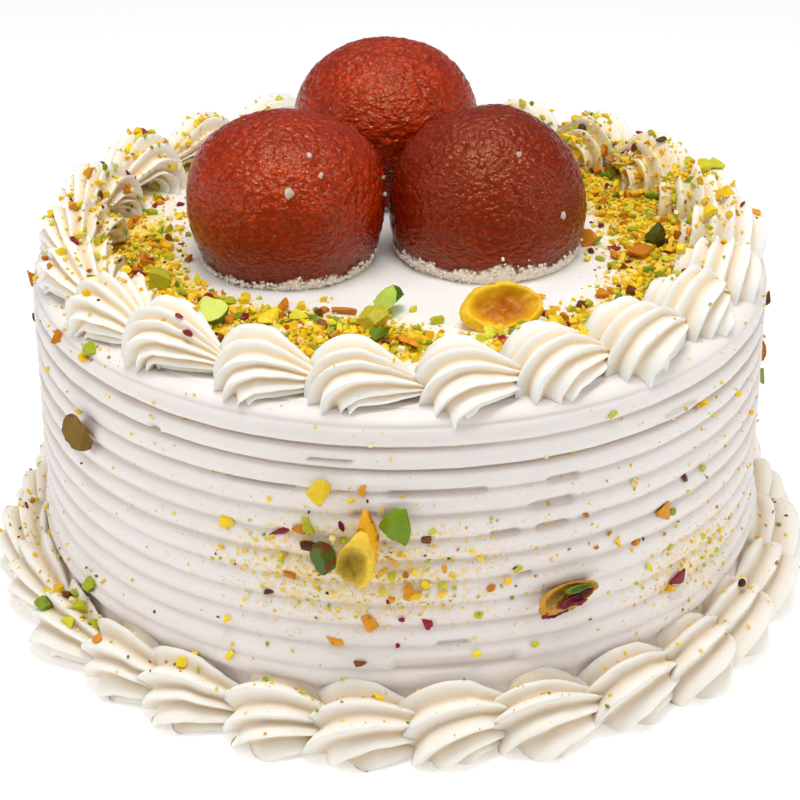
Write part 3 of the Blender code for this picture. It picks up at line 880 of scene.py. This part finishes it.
# ------------------------------------------------------------------------------------------------------------
# The mash: where the handfuls fell thickest, fine nut meal and chips lie in an unbroken uneven layer on the cream.
# The larger chips below lie loose on it.
# ------------------------------------------------------------------------------------------------------------
MASH_COLUMNS = 560
MASH_ROWS = 46
MASH_BIT = 1.7 * MM
mash_turn = np.linspace(0, 2 * math.pi, MASH_COLUMNS, endpoint=False)[None, :]
mash_radius = np.linspace(71 * MM, 38 * MM, MASH_ROWS)[:, None]
mash_cover = crumb_cover(TOP_HANDFULS, mash_turn, mash_radius)
mash_grid = round_the_cake(mash_radius + 0 * mash_turn, mash_turn + 0 * mash_radius, CAKE_TOP)
mash_spots = mash_grid.reshape(-1, 3)
bit_tops = []
for spot in mash_spots:
    distances, centres = noise.voronoi(Vector(spot) / MASH_BIT)
    bit_tops.append(0.5 + 0.5 * noise.noise(centres[0] * 7.3) - 0.5 * distances[0])
bit_tops = np.array(bit_tops).reshape(mash_cover.shape)
patchy = unevenness(mash_spots, 5 * MM, 13).reshape(mash_cover.shape)
near_ball = np.zeros_like(mash_cover)
for name in JAMUNS:
    low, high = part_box(name)
    away = np.hypot(mash_grid[..., 0] - (low.x + high.x) / 2, mash_grid[..., 1] - (low.y + high.y) / 2)
    near_ball = np.maximum(near_ball, np.clip((27 * MM - away) / (3 * MM), 0, 1))
thickness = 1.5 * (mash_cover * (1.0 + 0.7 * patchy) - 0.46 - near_ball)
heap = np.clip(thickness, 0, 1) * (0.9 + 2.2 * bit_tops) + np.clip(thickness, -1, 0) * 2
mash_grid[..., 2] += heap * MM - 0.05 * MM
mash_grid[0, :, 2] = CAKE_TOP - 1.5 * MM
mash_grid[-1, :, 2] = CAKE_TOP - 1.5 * MM
crumb_mash = joined("crumb_mash", [closed_grid(mash_grid)])


def mash_of_bits():
    """Fine chopped pistachio: a mosaic of bits, mostly bright yellow and lime, some green, orange and brown."""
    material = new_material("chopped_pistachio_mash")
    place = add_node(material, "TexCoord").outputs["Object"]
    bits = add_node(material, "TexVoronoi", None, {"Vector": place, "Scale": 1 / (1.25 * MM)})
    one_number = add_node(material, "SeparateColor", None, {"Color": bits.outputs["Color"]})
    colours = add_node(material, "ValToRGB", None, {"Fac": one_number.outputs["Red"]})
    ramp = colours.color_ramp
    ramp.interpolation = "CONSTANT"
    stops = [(0.0, "#F5CE1E"), (0.26, "#F7E08A"), (0.46, "#E2B41A"), (0.60, "#C9BC1C"), (0.72, "#C8900E"),
             (0.82, "#98981A"), (0.90, "#A8680C"), (0.96, "#6A2C0E")]
    ramp.elements[0].color = linear(stops[0][1])
    ramp.elements[1].position = stops[1][0]
    ramp.elements[1].color = linear(stops[1][1])
    for position, colour in stops[2:]:
        ramp.elements.new(position).color = linear(colour)
    meal = add_node(material, "TexNoise", None, {
        "Vector": place, "Scale": 1 / (0.5 * MM), "Detail": 3.0, "Roughness": 0.7})
    bump = add_node(material, "Bump", None, {"Strength": 0.8, "Distance": 0.3 * MM, "Height": meal.outputs["Fac"]})
    shader = add_node(material, "BsdfPrincipled", None, {
        "Base Color": colours.outputs["Color"], "Roughness": 0.5, "IOR": 1.45, "Specular IOR Level": 0.35,
        "Normal": bump.outputs["Normal"]})
    add_node(material, "OutputMaterial", None, {"Surface": shader.outputs["BSDF"]})
    return material


crumb_mash.data.materials.append(mash_of_bits())
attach(crumb_mash, "root")

# ------------------------------------------------------------------------------------------------------------
# The scatter: chopped pistachio thrown over the cake by hand. It lies thick inside the top border, at the right
# and left, thins out towards the jamuns, and has stuck here and there on the side and the foot border.
# ------------------------------------------------------------------------------------------------------------
bpy.context.view_layer.update()
depsgraph = bpy.context.evaluated_depsgraph_get()
CREAM_PIECES = [combed_side, levelled_top, top_shells, foot_shells, crumb_mash]
cream_surfaces = [BVHTree.FromObject(piece, depsgraph) for piece in CREAM_PIECES]
ball_surfaces = [BVHTree.FromObject(piece, depsgraph) for piece in fried_balls]

# Handfuls on the foot border: middle in degrees and mm from the centre, spread of each, and share of the crumbs
FOOT_HANDFULS = [
    ((-54, 88), (5, 3), 0.22),
    ((-84, 90), (14, 4), 0.30),
    ((90, 90), (14, 4), 0.12),
    ((-15, 91), (24, 4), 0.12),
    ((35, 91), (24, 4), 0.12),
    ((0, 91), (180, 4), 0.16),
]
# Single pieces on the side, by kind: degrees from the front, mm up, size across and upright in mm, lean in degrees
SIDE_SINGLES = {
    "chips_toasted": [
        (-4.2, 28.9, 3.4, 6.0, -8), (-9.5, 24.5, 4.6, 2.6, 35), (1.2, 37.4, 2.6, 3.8, 15), (12.9, 37.1, 2.0, 1.8, 0),
        (6.2, 43, 1.2, 1.6, 0), (-5.2, 61.8, 1.6, 3.2, 15), (-1.2, 35.7, 1.6, 1.4, 0), (-15.8, 39.3, 3.0, 2.4, 0),
        (41.9, 44.4, 4.0, 4.2, 20), (49, 65.8, 1.8, 1.5, 0), (36.9, 38.9, 2.6, 1.5, 10), (27.4, 50.2, 1.6, 1.4, 0),
        (87, 54, 5.0, 6.0, 0), (-84, 75, 4.6, 4.4, 0), (-14.2, 51.5, 3.0, 2.4, 0)],
    "chips_yellow": [
        (-25.4, 49.5, 3.6, 3.0, 0), (11.4, 44.5, 2.0, 1.6, 0), (7.3, 41.2, 1.8, 1.7, 0), (11, 21.2, 2.1, 1.7, 0),
        (-18.5, 57.5, 1.3, 1.2, 0), (-6.7, 59.4, 1.8, 1.4, 0), (0, 47, 1.6, 1.4, 0)],
    "chips_lime": [
        (16.8, 40.8, 2.2, 2.0, 0), (11.2, 30.7, 2.3, 1.8, 0), (31, 73.0, 2.4, 1.8, 0), (4.5, 52, 1.7, 1.7, 0),
        (-12.8, 52.1, 3.8, 4.2, 20)],
    "chips_green": [(87, 47, 5.0, 4.6, 0), (43.5, 43, 2.6, 2.2, 0)],
    "chips_brown": [
        (3.7, 49.8, 2.2, 2.3, 0), (-12.8, 47.6, 3.8, 2.4, 0), (46.8, 49.4, 1.9, 2.2, 0), (87, 68, 5.6, 4.2, 0),
        (87, 23, 3.8, 3.4, 0), (-5.6, 20.0, 3.0, 1.6, -20)],
    "flakes_skin": [
        (45.6, 25.6, 5.3, 3.5, 15), (3.9, 29.6, 2.4, 3.3, -10), (0.2, 30.8, 1.5, 1.2, 0), (-8.1, 53.2, 1.2, 2.6, -10),
        (-0.3, 24, 1.0, 1.4, 0), (-16.9, 49.8, 9.0, 1.7, -27), (-1.5, 35.2, 1.4, 1.2, 0), (-84, 65, 3.0, 2.6, 0)],
}
# Single pieces on the top and the foot, by kind: mm to the right and to the back, length and width in mm, turn
TOP_SINGLES = {
    "chips_toasted": [
        (-12.2, -35.4, 6.4, 2.8, 10), (-10.0, -47.4, 4.4, 2.2, -35), (1.6, -53.6, 7.0, 3.2, 8),
        (30.9, -28.6, 1.7, 4.2, 20), (45.3, -27.4, 3.3, 3.0, 0), (-60.3, -35.6, 3.2, 2.8, 0), (-77, -15, 5.0, 3.6, 20),
        (-17, -35, 2.2, 2.6, 30), (51, 73, 4.6, 4.0, 0), (55, 80, 4.0, 3.2, 40), (66, 63, 3.0, 3.2, 0),
        (-58, 73, 4.0, 4.6, 0), (-26, -33, 6.0, 2.6, -30), (56, -4.6, 6.4, 4.2, 20), (44, 3, 6.0, 5.0, 0)],
    "chips_yellow": [
        (76.3, 1.8, 4.4, 3.2, 10), (72.2, -4.0, 3.0, 3.6, 0), (4.0, -50, 6.0, 2.4, 20), (57, 79, 2.4, 6.4, 30),
        (33.9, -45, 3.4, 3.0, 0), (-29, -41, 8.0, 4.4, 20), (63, -2, 4.6, 3.6, 30)],
    "chips_lime": [
        (19.6, -45.4, 4.4, 3.6, 0), (8.1, -40.2, 2.6, 3.6, 30), (-22, -41, 4.6, 3.6, 0), (-38.6, -35.4, 3.6, 2.6, 0), (77.4, 28.3, 4.4, 4.6, 0),
        (74, 24, 4.4, 4.0, 0), (35, -47.5, 3.0, 2.6, 30)],
    "chips_green": [
        (-3.7, -51.0, 6.6, 5.2, 20), (26.6, -44.6, 4.2, 4.4, 0), (-62, 66, 3.4, 3.0, 0), (52, 44, 4.0, 3.2, 0),
        (62, 30, 4.0, 3.0, 0)],
    "chips_brown": [
        (-17, -44.5, 2.8, 2.4, 0), (40.6, -32.5, 3.2, 2.6, 0), (71.8, -11.4, 5.0, 2.6, 20), (64.9, 38.7, 2.8, 2.0, 0),
        (61, 1, 2.6, 5.0, 10)],
    "flakes_skin": [
        (-43.2, -31, 4.8, 3.4, -30), (-59.8, -18.5, 4.0, 4.6, 20), (-34.6, -38.8, 3.2, 2.6, 0),
        (50.2, -0.5, 3.4, 1.6, 10), (22, -49, 2.6, 1.8, -20), (40, -10, 2.2, 1.6, 30), (-58, -8, 3.4, 2.0, 0)],
    "chips_pale": [(-67, -38.4, 6.6, 4.2, 15), (-5.2, -57.5, 6.6, 3.0, 12), (-41, 5, 4.2, 3.0, 0)],
}
FOOT_SINGLES = {
    "chips_green": [(-81.5, -49, 4.6, 5.6, 0), (-70, -51, 4.6, 4.0, 0), (-66.5, -52.5, 3.6, 4.0, 0),
                    (-40.3, -90.5, 5.8, 3.6, 0), (77, -60, 3.4, 3.0, 0)],
    "chips_toasted": [(-67, -67, 2.6, 2.4, 0), (-73, -62, 2.4, 2.8, 0)],
    "chips_lime": [(-72.5, -52, 4.0, 3.6, 0), (-75, -55, 3.4, 3.4, 0), (-69, -55.5, 3.2, 3.0, 0)],
    "chips_brown": [(-76, -48, 2.6, 2.6, 0)],
}


def first_hit(start, direction, trees):
    """The nearest surface along a throw: where it lands and which way the surface faces."""
    best = None
    for tree in trees:
        spot, facing, _, distance = tree.ray_cast(start, direction)
        if spot is not None and (best is None or distance < best[2]):
            best = (spot, facing, distance)
    return best


def drop_at(x, y):
    """Where something dropped at a place lands on the cream, or nothing if a gulab jamun is in the way."""
    start = Vector((x, y, 0.2))
    down = Vector((0, 0, -1))
    if first_hit(start, down, ball_surfaces):
        return None
    return first_hit(start, down, cream_surfaces)


def throw_at_side(turn, height):
    start = Vector((0.2 * math.sin(turn), -0.2 * math.cos(turn), height))
    return first_hit(start, Vector((-math.sin(turn), math.cos(turn), 0.0)), cream_surfaces)


def thrown(dice, handfuls, from_above):
    """Where a crumb from one of the handfuls lands."""
    (degrees, far), (turn_spread, far_spread), _ = dice.choices(handfuls, [share for _, _, share in handfuls])[0]
    turn = math.radians(dice.gauss(degrees, turn_spread))
    far = dice.gauss(far, far_spread) * MM
    if handfuls is TOP_HANDFULS and far > 60 * MM and dice.random() < 0.30:
        outward = Vector((math.sin(turn), -math.cos(turn), 0.0))
        start = outward * 55 * MM + Vector((0, 0, CAKE_TOP + abs(dice.gauss(1.0, 5.0)) * MM))
        return first_hit(start, outward, cream_surfaces)
    if from_above:
        return drop_at(far * math.sin(turn), -far * math.cos(turn))
    return throw_at_side(turn, far)


class Scatter:
    """Crumbs of one kind, each a lump laid on the cream, gathered into one piece."""

    def __init__(self, seed, flatness):
        self.dice = random.Random(seed)
        self.grains = [chopped_lump(self.dice, 0, 0, 0.5) for _ in range(10)]
        self.small_lumps = [chopped_lump(self.dice, 1, 2, 0.3) for _ in range(10)]
        self.lumps = [chopped_lump(self.dice, 2, 5, 0.25) for _ in range(12)]
        self.large_lumps = [chopped_lump(self.dice, 3, 7, 0.2) for _ in range(10)]
        self.flatness = flatness
        self.shapes = []
        self.on_cut = []
        self.tones = []

    def lay(self, hit, size, turn, sunk=0.22):
        """Lays a lump of this size (across, along, thick) on the surface, turned about the way it faces."""
        spot, facing, _ = hit
        largest = max(size)
        kinds = self.large_lumps
        for below, smaller_kinds in ((3.0, self.lumps), (1.5, self.small_lumps), (0.75, self.grains)):
            if largest < below * MM:
                kinds = smaller_kinds
        lump, faces, on_cut = self.dice.choice(kinds)
        lie = facing.to_track_quat("Z", "Y").to_matrix()
        turned = np.array(lie @ Matrix.Rotation(turn, 3, "Z"))
        rest = np.array(spot) + np.array(facing) * size[2] * (0.5 - sunk)
        self.shapes.append(((lump * size) @ turned.T + rest, faces))
        self.on_cut.append(on_cut)
        self.tones.append(np.full(len(lump), self.dice.random()))

    def throw(self, counts, smallest, largest):
        """Throws these numbers of crumbs at the top, the side and the foot."""
        throws = [(TOP_HANDFULS, True)] * counts[0] + [(SIDE_HANDFULS, False)] * counts[1]
        throws += [(FOOT_HANDFULS, True)] * counts[2]
        for handfuls, from_above in throws:
            hit = thrown(self.dice, handfuls, from_above)
            size = smallest + (largest - smallest) * self.dice.random() ** (2.4 if handfuls is TOP_HANDFULS else 4.5)
            shape = np.array([1.0, self.dice.uniform(0.4, 0.9), self.dice.uniform(*self.flatness)])
            if hit:
                self.lay(hit, shape * size, self.dice.uniform(0, 2 * math.pi))

    def lay_singles(self, kind):
        for degrees, height, wide, tall, lean in SIDE_SINGLES.get(kind, []):
            turn = math.radians(degrees)
            spot, facing, _ = throw_at_side(turn, height * MM)
            outward = Vector((math.sin(turn), -math.cos(turn), 0.0))
            spot += outward * max(0.0, CAKE_RADIUS - 1.0 * MM - math.hypot(spot.x, spot.y))
            size = np.array([wide, tall, max(1.0, 0.5 * min(wide, tall))]) * MM
            self.lay((spot, (facing * 0.3 + outward).normalized(), 0), size, math.radians(-lean), 0.25)
        for x, y, long, wide, turn in TOP_SINGLES.get(kind, []) + FOOT_SINGLES.get(kind, []):
            hit = drop_at(x * MM, y * MM)
            if hit:
                size = np.array([long, wide, 0.7 * min(long, wide)]) * MM
                self.lay((hit[0], (hit[1] + Vector((0, 0, 1))).normalized(), 0), size, math.radians(turn), 0.15)


def scatter(name, material, seed, counts, smallest, largest, flatness=(0.5, 1.0)):
    crumbs = Scatter(seed, flatness)
    crumbs.throw(counts, smallest * MM, largest * MM)
    crumbs.lay_singles(name)
    piece = joined(name, crumbs.shapes, 20)
    finish_nut(piece, material, np.concatenate(crumbs.on_cut), np.concatenate(crumbs.tones))
    return piece


yellow_flesh = nut_flesh("yellow_pistachio_flesh", "#FFE236", "#F2BC10", "#CE9A10")
lime_flesh = nut_flesh("lime_pistachio_flesh", "#E8E03A", "#B8B81E", "#86961A")
green_flesh = nut_flesh("green_pistachio_flesh", "#AFB82A", "#64861A", "#3C5A10")
toasted_flesh = nut_flesh("toasted_pistachio", "#F0A41C", "#BC6A0E", "#8E3E0C")
brown_flesh = nut_flesh("dark_toasted_pistachio", "#8A5014", "#4A220C", "#35160A")
crimson_skin = nut_flesh("crimson_pistachio_skin", "#9E1430", "#5A0A22", "#6A1024", 0.3, 0.35)
pale_flesh = nut_flesh("pale_pistachio_flesh", "#FFF3C4", "#F8DC7C", "#ECBC54")
scatter("chips_yellow", yellow_flesh, 301, (1500, 80, 50), 0.8, 3.0)
scatter("chips_lime", lime_flesh, 302, (760, 40, 34), 0.8, 3.0)
scatter("chips_green", green_flesh, 303, (330, 10, 24), 0.9, 3.4)
scatter("chips_toasted", toasted_flesh, 304, (400, 24, 20), 0.8, 3.4)
scatter("chips_brown", brown_flesh, 305, (120, 5, 8), 0.8, 3.0)
scatter("flakes_skin", crimson_skin, 306, (120, 10, 5), 0.8, 3.0, (0.25, 0.5))
scatter("chips_pale", pale_flesh, 307, (360, 30, 14), 0.8, 2.6)
scatter("dust_yellow", yellow_flesh, 308, (4000, 1400, 560), 0.3, 1.1)
scatter("dust_lime", lime_flesh, 309, (1500, 520, 160), 0.3, 1.0)
scatter("dust_pale", pale_flesh, 310, (1500, 500, 160), 0.3, 1.1)

# ------------------------------------------------------------------------------------------------------------
# The studio: a pale plain floor, wide soft lights above and to each side, and white surroundings.
# ------------------------------------------------------------------------------------------------------------
FLOOR_SIZE = 8.0
bpy.ops.mesh.primitive_plane_add(size=FLOOR_SIZE, location=(0, 0, -0.0002))
floor = bpy.context.object
floor.name = "studio_floor"
pale_board = new_material("pale_studio_floor")
matt = add_node(pale_board, "BsdfPrincipled", None, {
    "Base Color": (0.93, 0.93, 0.93, 1), "Roughness": 0.9, "Specular IOR Level": 0.1,
    "Emission Color": (1, 1, 1, 1), "Emission Strength": 0.27})
add_node(pale_board, "OutputMaterial", None, {"Surface": matt.outputs["BSDF"]})
floor.data.materials.append(pale_board)


def soft_light(name, place, aim, width, depth, watts):
    light = bpy.data.lights.new(name, "AREA")
    light.shape = "RECTANGLE"
    light.size = width
    light.size_y = depth
    light.energy = watts
    lamp = bpy.data.objects.new(name, light)
    lamp.location = place
    lamp.rotation_euler = (Vector(aim) - Vector(place)).to_track_quat("-Z", "Y").to_euler()
    bpy.context.scene.collection.objects.link(lamp)


soft_light("overhead_softbox", (0.0, 0.35, 0.95), (0, 0, 0.06), 1.0, 0.6, 2.2)
soft_light("key_softbox", (0.0, -0.16, 0.95), (0, 0, 0.08), 0.42, 0.30, 4.4)
for number, degrees in enumerate((-62, -44, -28, -12, 4, 20, 36, 54)):
    turn = math.radians(degrees)
    place = (0.58 * math.sin(turn), -0.58 * math.cos(turn), 0.62 + 0.12 * (number % 2))
    soft_light("small_lamp_" + str(number), place, (0, 0, 0.09), 0.030, 0.030, 0.13)
soft_light("left_panel", (-0.88, -0.28, 0.40), (0, 0, 0.05), 0.5, 0.6, 2.0)
soft_light("right_panel", (0.88, -0.28, 0.40), (0, 0, 0.05), 0.5, 0.6, 2.0)

surroundings = bpy.data.worlds.new("white_surroundings")
surroundings.use_nodes = True
surroundings.node_tree.nodes["Background"].inputs["Color"].default_value = (1, 1, 1, 1)
surroundings.node_tree.nodes["Background"].inputs["Strength"].default_value = 0.18
bpy.context.scene.world = surroundings
bpy.context.scene.view_settings.view_transform = "Standard"

# ------------------------------------------------------------------------------------------------------------
# The camera: a little above the cake, looking down at it from the front through a long lens.
# ------------------------------------------------------------------------------------------------------------
view = bpy.data.cameras.new("camera")
view.sensor_width = 36.0
view.lens = 104.2
view.shift_y = -0.076
view.clip_start = 0.01
camera = bpy.data.objects.new("camera", view)
camera.location = (0.0, -0.4988, 0.2979)
camera.rotation_euler = (math.radians(90 - 26), 0, 0)
bpy.context.scene.collection.objects.link(camera)
bpy.context.scene.camera = camera
